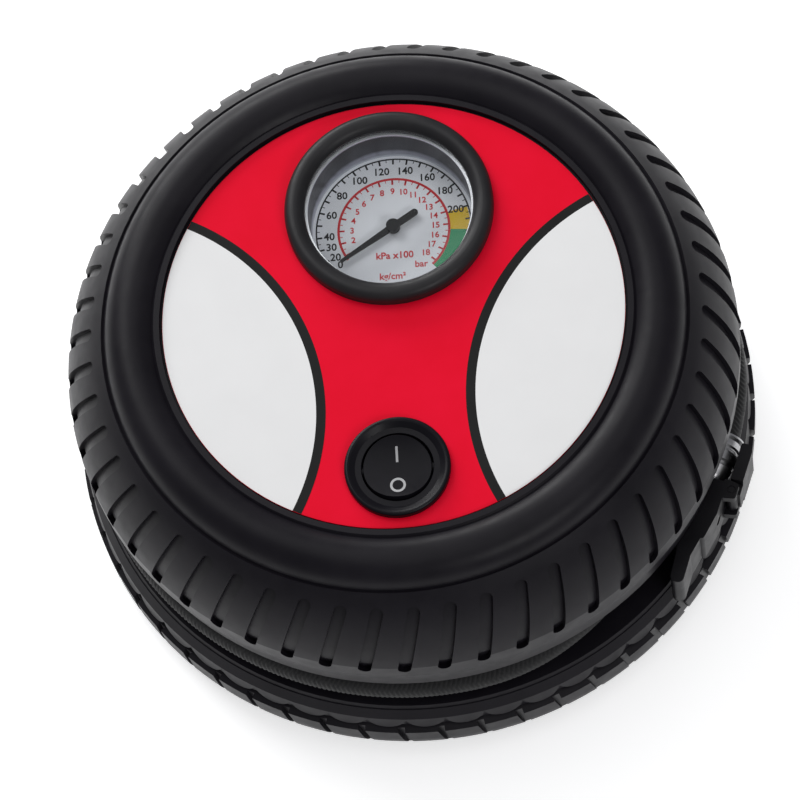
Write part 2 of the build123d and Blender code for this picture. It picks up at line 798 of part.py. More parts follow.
gauge_tube_points = [
    (port_x, 0.0, 33.6),
    (port_x, 0.0, 38.6),
    (50.8, 4.0, 42.6),
    (42.5, 11.0, 43.6),
    (31.0, 19.5, 41.0),
    (20.5, 24.6, 38.8),
    (12.0, gauge_y, gauge_tube_z - 13.4),
    (5.9, gauge_y, gauge_tube_z - 13.4),
]
fitting_end = (48.6, -30.6, hose_z)
outlet_tube_points = [
    (port_x, -11.4, 28.0),
    (port_x, -16.0, 28.0),
    (53.4, -21.0, 28.7),
    (50.4, -25.6, 29.5),
    (fitting_end[0] + 0.3, fitting_end[1] + 1.3, hose_z),
]
wrap_count = 16
hose_end = (chuck_x + ferrule_grip * chuck_along[0], chuck_y + ferrule_grip * chuck_along[1], hose_z)
hose_points = [
    (47.4, -36.2, hose_z),
    (45.2, -46.0, hose_z),
    (38.2, -56.6, hose_z),
]
hose_points += [(*on_circle(hose_wrap_radius, -72.0 - i * hose_step_deg), hose_z) for i in range(wrap_count)]
hose_points += [(72.3, 5.5, hose_z), (72.4, -9.9, hose_z), hose_end]


def gauge_tube():
    return tube_with_bore(gauge_tube_points, 2.7, 2.02)


def outlet_tube():
    return tube_with_bore(outlet_tube_points, 2.7, 2.02)


def outlet_fitting():
    """The brass barb, held to the groove wall from inside, that the hose is pushed on."""
    way = Vector(*hose_points[0]) - Vector(*fitting_end)
    length = way.length - 0.02
    along = Plane(origin=fitting_end, z_dir=way)
    nut = Pos(0, 0, length - 2.6) * extrude(RegularPolygon(3.0, 6), amount=2.4)
    stem = Pos(0, 0, length / 2) * Cylinder(1.9, length)
    return along * (nut + stem - Pos(0, 0, length / 2) * Cylinder(0.9, length + 2))


def air_hose():
    return round_tube(hose_points, hose_radius)


def lead(points, radius=0.8):
    return round_tube(points, radius)[0]


def lead_switch_to_motor():
    x = motor_x + 9.0
    return lead(
        [
            (0.0, switch_y + 4.5, 46.9),
            (0.0, switch_y + 4.9, 42.0),
            (-2.4, switch_y + 9.5, 38.0),
            (-5.0, switch_y + 15.0, 42.0),
            (-6.2, -17.5, 50.0),
            (-6.4, -13.8, 58.0),
            (-8.6, motor_y - 3.6, 65.0),
            (x + 0.9, motor_y - 0.4, 66.6),
        ]
    )


def lead_gland_to_switch():
    return lead(
        [
            (1.1, 46.0, 6.0),
            (1.1, 46.0, 10.4),
            (0.4, 42.0, 13.0),
            (-1.0, 35.0, 13.0),
            (-4.0, 22.0, 11.5),
            (-6.0, 2.0, 10.5),
            (-6.0, -20.0, 10.5),
            (-4.0, -37.0, 12.0),
            (-1.2, -47.0, 19.0),
            (0.0, -49.6, 28.0),
            (0.0, -46.6, 38.0),
            (0.0, switch_y - 4.9, 46.9),
        ]
    )


def lead_gland_to_motor():
    x = motor_x - 9.0
    return lead(
        [
            (-1.1, 46.0, 6.0),
            (-1.1, 46.0, 11.0),
            (-3.0, 42.6, 15.5),
            (-9.0, 38.0, 21.0),
            (-20.0, 34.0, 27.0),
            (-33.0, 26.0, 35.0),
            (-41.6, 13.0, 43.0),
            (-43.0, 0.0, 53.0),
            (-40.0, -5.2, 61.6),
            (x - 4.6, motor_y, 65.8),
            (x - 0.9, motor_y, 66.6),
        ]
    )


def cord_gland():
    """The rubber grommet where the supply cord comes in under the case."""
    body = disc(4.15, base_z + 0.4, 9.6, gland_spot) + disc(5.6, 5.32, 6.6, gland_spot)
    body += disc(5.6, base_z - 0.4, base_z + 0.88, gland_spot)
    return body - disc(2.2, 0, 20, gland_spot)


# ---------------------------------------------------------------- chuck

chuck_floor = Plane(origin=(chuck_x, chuck_y, chuck_bottom_z), x_dir=(*chuck_along, 0), z_dir=(0, 0, 1))
mouth_u = 19.2
body_inner = -4.6
lever_pivot = (13.6, 6.2)


def chuck_prism(outline, low=0.0, high=chuck_height):
    """An upright prism from points along and across the chuck."""
    return Pos(0, 0, low) * extrude(make_face(Polyline(*outline, close=True)), amount=high - low)


def across(radius, u, low, high):
    """A cylinder lying across the chuck, at mid height, from one offset to another."""
    return Pos(u, (low + high) / 2, chuck_height / 2) * Rot(90, 0, 0) * Cylinder(radius, high - low)


def chuck_body():
    """The grip with its valve mouth towards the groove wall, a finger tail and two hinge ears."""
    grip = chuck_prism([(12.0, body_inner), (26.6, body_inner), (26.6, 3.2), (20.0, 4.6), (12.0, 4.8)])
    grip = fillet(grip.edges().filter_by(Axis.Z), 0.8)
    tail = chuck_prism([(24.5, -2.6), (31.0, -1.8), (38.0, -1.5), (38.0, 1.5), (31.0, 1.5), (24.5, 3.0)])
    tail = fillet(tail.edges().filter_by(Axis.Z).group_by(Axis.X)[-1], 1.4)
    body = grip + tail + across(5.6, mouth_u, -7.2, body_inner + 0.5)
    body -= across(4.1, mouth_u, -8.0, -1.9)
    body -= across(4.9, mouth_u, -6.4, -2.6)
    body -= across(1.25, mouth_u, -2.0, 6.0)
    body -= across(3.2, mouth_u, -0.9, 2.2)
    for low in (0.0, chuck_height - 2.0):
        ear = chuck_prism([(11.2, 4.0), (16.2, 4.0), (15.6, 7.6), (12.0, 7.6)], low, low + 2.0)
        body += fillet(ear.edges().filter_by(Axis.Z), 0.7)
    body -= Pos(*lever_pivot, 0) * disc(0.9, -1, chuck_height + 1)
    socket = Pos(12.0, 0, hose_z - chuck_bottom_z) * Rot(0, 90, 0) * Cylinder(2.3, 6.0)
    return chuck_floor * (body - socket)


def chuck_lever():
    """The flat thumb lever, folded along the hose, with a cam end between the ears."""
    blade = chuck_prism([(2.0, 5.5), (13.6, 5.2), (13.6, 8.1), (3.4, 8.3), (2.0, 7.4)], 0.3, chuck_height - 0.3)
    blade = fillet(blade.edges().filter_by(Axis.Z).group_by(Axis.X)[0], 0.5)
    ears = block((11.0, 20.0), (0, 9), (-1, 2.3)) + block((11.0, 20.0), (0, 9), (chuck_height - 2.3, 20))
    body = blade - ears + Pos(*lever_pivot, 0) * disc(1.3, 2.3, chuck_height - 2.3)
    body -= Pos(*lever_pivot, 0) * disc(0.8 + running_gap, -1, chuck_height + 1)
    return chuck_floor * body


def chuck_pin():
    return chuck_floor * Pos(*lever_pivot, 0) * disc(0.8, 0.1, chuck_height - 0.1)


def chuck_plunger():
    """The small slider behind the seal, with the pin that opens the valve."""
    return chuck_floor * (across(3.15, mouth_u, 0.6, 2.0) + across(1.0, mouth_u, -2.2, 4.3))


def chuck_seal():
    return chuck_floor * (across(4.85, mouth_u, -6.35, -2.65) - across(valve_radius - 0.05, mouth_u, -7.0, -1.0))


def hose_ferrule():
    """The crimped metal sleeve on the hose end, flared at its rim, with its stem in the chuck."""
    rim = ferrule_radius + 0.6
    outline = [
        (hose_radius + 0.02, -ferrule_grip),
        (rim, -ferrule_grip),
        (rim, -5.6),
        (ferrule_radius, -5.0),
        (ferrule_radius, -3.6),
        (ferrule_radius - 0.35, -3.2),
        (ferrule_radius - 0.35, -2.6),
        (ferrule_radius, -2.2),
        (ferrule_radius, 0.0),
        (4.3, 0.4),
        (4.25, 1.0),
        (4.4, 1.4),
        (3.8, 3.8),
        (3.3, 5.0),
        (2.7, 5.2),
        (2.7, 5.4),
        (2.28, 5.9),
        (2.28, 8.6),
        (1.2, 8.6),
        (1.2, 0.02),
        (hose_radius + 0.02, 0.02),
    ]
    sleeve = turned(lambda: Polyline(*outline, close=True))
    along = Plane(origin=hose_end, z_dir=(*chuck_along, 0))
    return along * sleeve


# ---------------------------------------------------------------- write every piece

single_pieces = [
    upper_shell,
    lower_shell,
    hose_drum,
    face_plate,
    case_screws,
    rubber_feet,
    gauge_bezel,
    gauge_rim,
    gauge_lens,
    gauge_dial,
    gauge_case,
    gauge_socket,
    gauge_bourdon_tube,
    gauge_movement_plate,
    gauge_sector,
    gauge_spindle,
    gauge_needle,
    switch_housing,
    switch_rocker,
    switch_spring_pin,
    switch_contact,
    switch_terminals,
    motor_can,
    motor_end_cap,
    motor_magnets,
    motor_armature,
    motor_commutator,
    motor_terminals,
    motor_pinion,
    drive_gear,
    gear_bush,
    gear_axle,
    gear_clip,
    crank_pin,
    gearbox_frame,
    frame_screws,
    connecting_rod,
    wrist_pin,
    piston,
    piston_seal,
    cylinder,
    valve_plate,
    valve_reed,
    cylinder_head,
    head_screws,
    outlet_fitting,
    lead_switch_to_motor,
    lead_gland_to_switch,
    lead_gland_to_motor,
    cord_gland,
    chuck_body,
    chuck_lever,
    chuck_pin,
    chuck_plunger,
    chuck_seal,
    hose_ferrule,
]

for make in single_pieces:
    export_step(make(), f"parts/{make.__name__}.step")

motor_shaft = disc(motor_shaft_radius, 20.5, motor_cap_top - 0.9, motor_spot)
export_step(motor_shaft, "parts/motor_shaft.step")

for make in (gauge_tube, outlet_tube, air_hose):
    solid, length, smallest = make()
    export_step(solid, f"parts/{make.__name__}.step")
    print(make.__name__, "length", round(length, 1), "volume", round(solid.volume), "smallest bend", round(smallest, 1))
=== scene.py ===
import json
import math

import bmesh
import bpy
from mathutils import Matrix, Vector


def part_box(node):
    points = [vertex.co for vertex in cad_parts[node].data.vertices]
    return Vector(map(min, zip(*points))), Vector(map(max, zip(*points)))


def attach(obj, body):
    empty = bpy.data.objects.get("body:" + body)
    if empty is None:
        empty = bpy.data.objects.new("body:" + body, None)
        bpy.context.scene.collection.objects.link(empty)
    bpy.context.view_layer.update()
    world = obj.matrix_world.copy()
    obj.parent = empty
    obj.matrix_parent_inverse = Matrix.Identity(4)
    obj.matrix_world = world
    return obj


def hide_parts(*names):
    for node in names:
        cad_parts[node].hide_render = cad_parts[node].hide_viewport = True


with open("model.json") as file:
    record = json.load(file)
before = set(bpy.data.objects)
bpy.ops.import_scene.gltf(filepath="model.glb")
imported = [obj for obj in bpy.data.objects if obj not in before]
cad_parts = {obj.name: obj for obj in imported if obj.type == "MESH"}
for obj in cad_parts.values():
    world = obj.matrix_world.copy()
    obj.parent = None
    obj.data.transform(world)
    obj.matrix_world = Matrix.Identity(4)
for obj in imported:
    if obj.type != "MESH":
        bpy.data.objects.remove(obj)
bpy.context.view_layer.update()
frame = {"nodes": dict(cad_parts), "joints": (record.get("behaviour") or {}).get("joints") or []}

# Everything is in metres, in the frame of the CAD model: the origin is the centre of the footprint,
# +Z is up and +Y points from the switch to the gauge.
MM = 0.001
UP = Vector((0, 0, 1))
ROOT = "inflator"

# ---------------------------------------------------------------- places, from the frame


def middle(node):
    """The centre of a CAD node's box."""
    low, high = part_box(node)
    return Vector([(a + b) / 2 for a, b in zip(low, high)])


def top_of(node):
    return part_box(node)[1][2]


face_top = top_of("face_plate")
face_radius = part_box("face_plate")[1][0]
gauge_centre = middle("gauge_bezel")
dial_top = top_of("gauge_dial")


def joint_named(name):
    return next(j for j in frame["joints"] if j["name"] == name)


# ---------------------------------------------------------------- camera

AZIMUTH = math.radians(10.68)
ELEVATION = math.radians(66.0)
ROLL = math.radians(13.56)
DISTANCE = 1.0377
ASIDE = -1.586 * MM
ALOFT = 19.3 * MM
LENS = 212.2


def add_camera():
    """A long lens above the face, leaning as the product shot does."""
    back = Vector(
        (
            math.sin(AZIMUTH) * math.cos(ELEVATION),
            -math.cos(AZIMUTH) * math.cos(ELEVATION),
            math.sin(ELEVATION),
        )
    )
    level = Vector((math.cos(AZIMUTH), math.sin(AZIMUTH), 0))
    upright = back.cross(level)
    right = level * math.cos(ROLL) - upright * math.sin(ROLL)
    up = level * math.sin(ROLL) + upright * math.cos(ROLL)
    place = Vector((0, 0, face_top)) + back * DISTANCE - right * ASIDE - up * ALOFT
    data = bpy.data.cameras.new("camera")
    data.lens = LENS
    data.sensor_width = 36
    data.clip_start = 0.05
    data.clip_end = 20
    camera = bpy.data.objects.new("camera", data)
    turn = Matrix((right, up, back)).transposed().to_4x4()
    camera.matrix_world = Matrix.Translation(place) @ turn
    bpy.context.collection.objects.link(camera)
    bpy.context.scene.camera = camera


# ---------------------------------------------------------------- materials


class Shader:
    """A small helper for building one Principled material out of nodes."""

    def __init__(self, name):
        self.material = bpy.data.materials.new(name)
        self.material.use_nodes = True
        self.nodes = self.material.node_tree.nodes
        self.links = self.material.node_tree.links
        self.surface = self.nodes["Principled BSDF"]
        self.place = self.nodes.new("ShaderNodeTexCoord").outputs["Object"]

    def set(self, **values):
        for name, value in values.items():
            self.surface.inputs[name.replace("_", " ")].default_value = value
        return self

    def link(self, source, socket):
        self.links.new(source, socket)

    def noise(self, scale, detail=3.0, roughness=0.5, stretch=None):
        """Noise in object space; stretch squeezes it along the axes."""
        node = self.nodes.new("ShaderNodeTexNoise")
        node.inputs["Scale"].default_value = scale
        node.inputs["Detail"].default_value = detail
        node.inputs["Roughness"].default_value = roughness
        place = self.place
        if stretch:
            squeeze = self.nodes.new("ShaderNodeMapping")
            squeeze.inputs["Scale"].default_value = stretch
            self.link(place, squeeze.inputs["Vector"])
            place = squeeze.outputs["Vector"]
        self.link(place, node.inputs["Vector"])
        return node.outputs["Fac"]

    def spread(self, value, low, high):
        """A 0 to 1 value moved to a new range."""
        node = self.nodes.new("ShaderNodeMapRange")
        node.inputs["From Min"].default_value = 0.3
        node.inputs["From Max"].default_value = 0.7
        node.inputs["To Min"].default_value = low
        node.inputs["To Max"].default_value = high
        self.link(value, node.inputs["Value"])
        return node.outputs["Result"]

    def blend(self, value, first, second):
        """A colour between two, by a value."""
        node = self.nodes.new("ShaderNodeMix")
        node.data_type = "RGBA"
        colours = [s for s in node.inputs if s.type == "RGBA"]
        colours[0].default_value = (*first, 1)
        colours[1].default_value = (*second, 1)
        self.link(value, node.inputs["Factor"])
        return next(s for s in node.outputs if s.type == "RGBA")

    def bump(self, height, strength, distance):
        node = self.nodes.new("ShaderNodeBump")
        node.inputs["Strength"].default_value = strength
        node.inputs["Distance"].default_value = distance
        self.link(height, node.inputs["Height"])
        self.link(node.outputs["Normal"], self.surface.inputs["Normal"])

    def colour(self, value, first, second):
        self.link(self.blend(value, first, second), self.surface.inputs["Base Color"])

    def rough(self, value, low, high):
        self.link(self.spread(value, low, high), self.surface.inputs["Roughness"])


# How many noise cells there are to the metre in the mottling, the gloss and the grain
MOTTLE_SCALE = 90.0
GLOSS_SCALE = 340.0
GRAIN_SCALE = 2400.0
TARNISH_SCALE = 130.0


def plastic(name, dark, light, rough, depth=0.03, bump=0.25, gloss=0.22, **more):
    """Moulded plastic: a fine grain, faint mottling and slightly uneven gloss."""
    s = Shader(name).set(Specular_IOR_Level=gloss, **more)
    s.colour(s.spread(s.noise(MOTTLE_SCALE, 4.0), 0.0, 1.0), dark, light)
    s.rough(s.noise(GLOSS_SCALE, 3.0), rough - 0.04, rough + 0.05)
    s.bump(s.noise(GRAIN_SCALE, 2.0), bump, depth * MM)
    return s.material


def metal(name, dark, light, rough, stretch=None, scale=900.0, depth=0.01, bump=0.2):
    """Metal with brushed or cast unevenness."""
    s = Shader(name).set(Metallic=1.0)
    s.colour(s.spread(s.noise(TARNISH_SCALE, 3.0), 0.0, 1.0), dark, light)
    s.rough(s.noise(scale, 3.0, stretch=stretch), rough - 0.05, rough + 0.08)
    s.bump(s.noise(scale, 2.0, stretch=stretch), bump, depth * MM)
    return s.material


def glass(name):
    """Clear acrylic: see-through head on, with a mirror share that grows at the edge."""
    s = Shader(name)
    haze = s.noise(60.0)
    clear = s.nodes.new("ShaderNodeBsdfTransparent")
    s.link(s.blend(haze, (0.96, 0.97, 0.975), (0.98, 0.985, 0.985)), clear.inputs["Color"])
    tilt = s.nodes.new("ShaderNodeLayerWeight")
    tilt.inputs["Blend"].default_value = 0.5
    steep = s.nodes.new("ShaderNodeMath")
    steep.operation = "POWER"
    steep.inputs[1].default_value = 5.0
    s.link(tilt.outputs["Facing"], steep.inputs[0])
    mirror = s.nodes.new("ShaderNodeMapRange")
    mirror.inputs["To Min"].default_value = 0.03
    s.link(steep.outputs["Value"], mirror.inputs["Value"])
    mix = s.nodes.new("ShaderNodeMixShader")
    gloss = s.nodes.new("ShaderNodeBsdfGlossy")
    s.link(s.spread(haze, 0.02, 0.05), gloss.inputs["Roughness"])
    s.link(mirror.outputs["Result"], mix.inputs["Fac"])
    s.link(clear.outputs["BSDF"], mix.inputs[1])
    s.link(gloss.outputs["BSDF"], mix.inputs[2])
    s.nodes.remove(s.surface)
    s.link(mix.outputs["Shader"], s.nodes["Material Output"].inputs["Surface"])
    return s.material


def case_plastic():
    """The case's satin black plastic, with a fine spark-eroded grain and soft wear."""
    s = Shader("case_black").set(Specular_IOR_Level=0.14)
    mottle = s.noise(55.0, 5.0, 0.6)
    s.colour(s.spread(mottle, 0.0, 1.0), (0.0060, 0.0052, 0.0076), (0.0102, 0.0090, 0.0122))
    s.rough(s.noise(260.0, 4.0), 0.36, 0.45)
    s.bump(s.noise(3200.0, 2.0), 0.22, 0.03 * MM)
    return s.material


def braid():
    """Black polyester braid: matt yarn, a little lighter on the crowns of its ribs."""
    s = Shader("hose_braid").set(Sheen_Weight=0.06, Sheen_Roughness=0.5, Specular_IOR_Level=0.2)
    yarn = s.noise(2600.0, 3.0, 0.7)
    s.colour(s.spread(yarn, 0.0, 1.0), (0.003, 0.003, 0.0035), (0.013, 0.013, 0.014))
    s.rough(yarn, 0.55, 0.75)
    s.bump(yarn, 0.5, 0.05 * MM)
    return s.material


# Colours of the rim wall by height: a pale foot, then bands (place, level) that paint a dark band
# of reflection, then a bright lip of painted highlight. The blue share tints the painted bands.
CHROME_FOOT = (0.62, 0.64, 0.68, 1)
CHROME_LIP_PAINTED_HIGHLIGHT = (0.85, 0.86, 0.88, 1)
CHROME_PAINTED_REFLECTION_BANDS = ((0.2, 0.55), (0.33, 0.08), (0.92, 0.05), (0.97, 0.75))
CHROME_BLUE = 1.15


def chrome(low, high):
    """Chrome round the dial with reflections painted into its colour by height: a dark band of
    painted reflection between a pale foot and a bright lip of painted highlight.
    """
    s = Shader("chrome_painted_reflections").set(Metallic=1.0)
    split = s.nodes.new("ShaderNodeSeparateXYZ")
    s.link(s.place, split.inputs["Vector"])
    rise = s.nodes.new("ShaderNodeMapRange")
    rise.inputs["From Min"].default_value = low
    rise.inputs["From Max"].default_value = high
    s.link(split.outputs["Z"], rise.inputs["Value"])
    # This ramp up the wall paints the reflections into the base colour.
    ramp = s.nodes.new("ShaderNodeValToRGB")
    stops = ramp.color_ramp.elements
    stops[0].color = CHROME_FOOT
    stops[1].color = CHROME_LIP_PAINTED_HIGHLIGHT
    for place, level in CHROME_PAINTED_REFLECTION_BANDS:
        stop = stops.new(place)
        stop.color = (level, level, level * CHROME_BLUE, 1)
    s.link(rise.outputs["Result"], ramp.inputs["Fac"])
    s.link(ramp.outputs["Color"], s.surface.inputs["Base Color"])
    s.rough(s.noise(800.0), 0.28, 0.38)
    s.bump(s.noise(600.0, 1.0), 0.03, 0.01 * MM)
    return s.material


def winding():
    """Enamelled copper wire, in fine turns along the poles."""
    s = Shader("copper_winding").set(Metallic=0.9)
    turns = s.spread(s.noise(900.0, stretch=(1, 1, 6)), 0, 1)
    s.colour(turns, (0.35, 0.13, 0.05), (0.62, 0.28, 0.12))
    s.rough(s.noise(500.0), 0.28, 0.4)
    s.bump(s.noise(1800.0, 1.0, stretch=(1, 1, 8)), 0.5, 0.1 * MM)
    return s.material


MATERIALS = {
    "case": case_plastic(),
    "bezel": plastic(
        "bezel_black", (0.013, 0.0125, 0.014), (0.020, 0.0195, 0.0215), 0.42, depth=0.02
    ),
    "rocker": plastic(
        "rocker_black",
        (0.0035, 0.0032, 0.0052),
        (0.0060, 0.0055, 0.0082),
        0.36,
        depth=0.02,
        gloss=0.15,
    ),
    "chuck": plastic(
        "chuck_black",
        (0.006, 0.0056, 0.0070),
        (0.011, 0.0105, 0.0128),
        0.38,
        depth=0.03,
        gloss=0.12,
    ),
    "red": plastic(
        "print_red",
        (0.78, 0.002, 0.022),
        (0.82, 0.003, 0.028),
        0.42,
        depth=0.008,
        bump=0.12,
        gloss=0.06,
    ),
    "white": plastic(
        "print_white",
        (0.80, 0.80, 0.80),
        (0.82, 0.82, 0.82),
        0.4,
        depth=0.008,
        bump=0.12,
        gloss=0.15,
    ),
    "line": plastic(
        "print_black",
        (0.008, 0.008, 0.008),
        (0.012, 0.012, 0.012),
        0.4,
        depth=0.008,
        gloss=0.12,
    ),
    "dial": plastic(
        "dial_white", (0.85, 0.86, 0.90), (0.89, 0.90, 0.94), 0.5, depth=0.006, bump=0.1
    ),
    "ink": plastic("dial_ink", (0.012, 0.012, 0.014), (0.03, 0.03, 0.032), 0.55, depth=0.005),
    "dial_red": plastic("dial_red", (0.60, 0.02, 0.03), (0.70, 0.04, 0.05), 0.55, depth=0.005),
    "dial_yellow": plastic(
        "dial_yellow", (0.80, 0.52, 0.02), (0.86, 0.58, 0.04), 0.55, depth=0.005
    ),
    "dial_green": plastic(
        "dial_green", (0.015, 0.30, 0.12), (0.03, 0.36, 0.16), 0.55, depth=0.005
    ),
    "needle": plastic(
        "needle_black", (0.008, 0.008, 0.009), (0.013, 0.013, 0.014), 0.35, depth=0.006
    ),
    "mark": plastic("switch_mark", (0.38, 0.38, 0.39), (0.45, 0.45, 0.46), 0.5, depth=0.005),
    "chrome": chrome(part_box("gauge_rim")[0][2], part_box("gauge_rim")[1][2]),
    "glass": glass("clear_acrylic"),
    "brass": metal(
        "machined_brass", (0.55, 0.36, 0.12), (0.72, 0.50, 0.20), 0.3, stretch=(1, 1, 5)
    ),
    "steel": metal("zinc_steel", (0.48, 0.48, 0.50), (0.62, 0.62, 0.63), 0.34),
    "drawn": metal("drawn_steel", (0.42, 0.43, 0.45), (0.56, 0.57, 0.58), 0.3, stretch=(6, 6, 1)),
    "cast": metal(
        "cast_alloy",
        (0.50, 0.51, 0.52),
        (0.64, 0.65, 0.66),
        0.5,
        scale=1800.0,
        depth=0.05,
        bump=0.5,
    ),
    "ferrule": metal("ferrule_plated", (0.36, 0.36, 0.37), (0.50, 0.50, 0.51), 0.34, scale=700.0),
    "copper": winding(),
    "ferrite": plastic(
        "ferrite_grey", (0.03, 0.03, 0.032), (0.06, 0.06, 0.063), 0.7, depth=0.05, bump=0.5
    ),
    "nylon": plastic(
        "natural_nylon", (0.66, 0.64, 0.56), (0.74, 0.72, 0.65), 0.42, Subsurface_Weight=0.1
    ),
    "rubber": plastic(
        "black_rubber", (0.010, 0.010, 0.010), (0.020, 0.020, 0.020), 0.66, depth=0.04, bump=0.4
    ),
    "braid": braid(),
    "wire_red": plastic("wire_red", (0.40, 0.01, 0.01), (0.50, 0.02, 0.02), 0.35),
    "wire_black": plastic("wire_black", (0.012, 0.012, 0.012), (0.022, 0.022, 0.022), 0.35),
}

NODE_MATERIALS = {
    "case": ["upper_shell", "lower_shell", "hose_drum"],
    "bezel": ["gauge_bezel"],
    "rocker": ["switch_housing", "switch_rocker"],
    "red": ["face_plate"],
    "rubber": [
        "rubber_feet",
        "cord_gland",
        "gauge_tube",
        "outlet_tube",
        "piston_seal",
        "chuck_seal",
    ],
    "chrome": ["gauge_rim"],
    "glass": ["gauge_lens"],
    "dial": ["gauge_dial"],
    "brass": [
        "gauge_socket",
        "gauge_bourdon_tube",
        "gauge_movement_plate",
        "gauge_sector",
        "gauge_spindle",
        "switch_contact",
        "switch_terminals",
        "motor_terminals",
        "motor_pinion",
        "gear_bush",
        "outlet_fitting",
        "chuck_plunger",
    ],
    "steel": [
        "case_screws",
        "motor_shaft",
        "gear_axle",
        "gear_clip",
        "crank_pin",
        "frame_screws",
        "wrist_pin",
        "valve_plate",
        "valve_reed",
        "head_screws",
    ],
    "drawn": ["gauge_case", "motor_can", "gearbox_frame"],
    "cast": ["connecting_rod", "piston", "cylinder", "cylinder_head"],
    "ferrule": ["hose_ferrule"],
    "copper": ["motor_armature", "motor_commutator"],
    "ferrite": ["motor_magnets"],
    "nylon": ["motor_end_cap", "drive_gear", "switch_spring_pin"],
    "needle": ["gauge_needle"],
    "wire_red": ["lead_switch_to_motor", "lead_gland_to_switch"],
    "wire_black": ["lead_gland_to_motor"],
    "chuck": ["chuck_body", "chuck_lever", "chuck_pin"],
}


def paint(piece, material):
    """One material on every slot of a piece."""
    slots = piece.data.materials
    slots.clear()
    slots.append(MATERIALS[material])


def paint_nodes():
    for material, nodes in NODE_MATERIALS.items():
        for node in nodes:
            paint(frame["nodes"][node], material)


# ---------------------------------------------------------------- mesh helpers


def mesh_piece(name, vertices, faces, material, body=ROOT, slot=None):
    """A new piece from plain points and faces, riding on a body."""
    mesh = bpy.data.meshes.new(name)
    mesh.from_pydata([tuple(v) for v in vertices], [], faces)
    mesh.update()
    return as_piece(name, mesh, material, body)


def as_piece(name, mesh, material, body=ROOT):
    piece = bpy.data.objects.new(name, mesh)
    bpy.context.collection.objects.link(piece)
    paint(piece, material)
    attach(piece, body)
    return piece


def slab(outline, low, high):
    """Points and faces of a flat closed prism from an anticlockwise outline."""
    count = len(outline)
    points = [(x, y, low) for x, y in outline] + [(x, y, high) for x, y in outline]
    sides = [(i, (i + 1) % count, count + (i + 1) % count, count + i) for i in range(count)]
    return points, [tuple(reversed(range(count))), tuple(range(count, 2 * count)), *sides]


def join_shapes(shapes):
    """Several (points, faces) as one."""
    points, faces = [], []
    for more_points, more_faces in shapes:
        start = len(points)
        points += more_points
        faces += [tuple(start + i for i in face) for face in more_faces]
    return points, faces


def arc_points(centre, radius, start_deg, end_deg, count):
    """Points along an arc in the plane."""
    step = (end_deg - start_deg) / (count - 1)
    angles = [math.radians(start_deg + i * step) for i in range(count)]
    return [(centre[0] + radius * math.cos(a), centre[1] + radius * math.sin(a)) for a in angles]


def band(centre, inner, outer, start_deg, end_deg, count):
    """The outline of a stretch of ring, anticlockwise."""
    far = arc_points(centre, outer, start_deg, end_deg, count)
    near = arc_points(centre, inner, start_deg, end_deg, count)
    return far + near[::-1]


# ---------------------------------------------------------------- hose

HOSE_DIAMETER = 8.5 * MM
HOSE_HEIGHT = middle("air_hose").z
WRAP_RADIUS = 71.2 * MM
WRAP_FIRST = -72.0
WRAP_STEP = 18.0
WRAP_COUNT = 16
HOSE_START = [(47.4, -36.2), (45.2, -46.0), (38.2, -56.6)]
HOSE_END = [(72.3, 5.5), (72.4, -9.9), (68.01, -23.194)]
HOSE_RESOLUTION = 40


def hose_route():
    """From the barb in the case, out through the drum, round the groove and into the ferrule."""
    wrap = [math.radians(WRAP_FIRST - i * WRAP_STEP) for i in range(WRAP_COUNT)]
    turns = [(WRAP_RADIUS * math.cos(a), WRAP_RADIUS * math.sin(a)) for a in wrap]
    start = [(x * MM, y * MM) for x, y in HOSE_START]
    end = [(x * MM, y * MM) for x, y in HOSE_END]
    return [Vector((x, y, HOSE_HEIGHT)) for x, y in start + turns + end]


def smooth_line(points, resolution):
    """Points read along the route's NURBS spline."""
    curve = bpy.data.curves.new("hose_line", "CURVE")
    curve.dimensions = "3D"
    curve.resolution_u = resolution
    spline = curve.splines.new("NURBS")
    spline.points.add(len(points) - 1)
    for spot, point in zip(spline.points, points):
        spot.co = (*point, 1)
    spline.order_u = 3
    spline.use_endpoint_u = True
    holder = bpy.data.objects.new("hose_line", curve)
    mesh = bpy.data.meshes.new_from_object(holder)
    line = [v.co.copy() for v in mesh.vertices]
    bpy.data.objects.remove(holder)
    bpy.data.curves.remove(curve)
    bpy.data.meshes.remove(mesh)
    return line


BRAID_AROUND = 48
BRAID_CHEVRONS = 6
BRAID_PITCH = 1.05 * MM
BRAID_LEAN = 2.4
BRAID_HEIGHT = 0.3 * MM
BRAID_STEP = 0.2 * MM


def braid_height(angle, along):
    """How far the yarn stands proud: ribs round the hose that lean to and fro as the plait does."""
    share = angle / math.tau * BRAID_CHEVRONS % 1
    lean = BRAID_LEAN * abs(2 * share - 1)
    crown = abs(math.cos(math.pi * along / BRAID_PITCH + lean))
    return BRAID_HEIGHT * (crown**0.7 - 1)


def braid_points(line):
    """Rings of points along the line, and how many steps there are between them."""
    lengths = [0.0]
    for before, after in zip(line, line[1:]):
        lengths.append(lengths[-1] + (after - before).length)
    count = int(lengths[-1] / BRAID_STEP)
    points, segment = [], 0
    for i in range(count + 1):
        along = lengths[-1] * i / count
        while segment < len(line) - 2 and lengths[segment + 1] < along:
            segment += 1
        share = (along - lengths[segment]) / (lengths[segment + 1] - lengths[segment])
        centre = line[segment].lerp(line[segment + 1], share)
        side = (line[segment + 1] - line[segment]).normalized().cross(UP).normalized()
        for k in range(BRAID_AROUND):
            angle = math.tau * k / BRAID_AROUND
            radius = HOSE_DIAMETER / 2 + braid_height(angle, along)
            points.append(centre + radius * (side * math.cos(angle) + UP * math.sin(angle)))
    return points, count


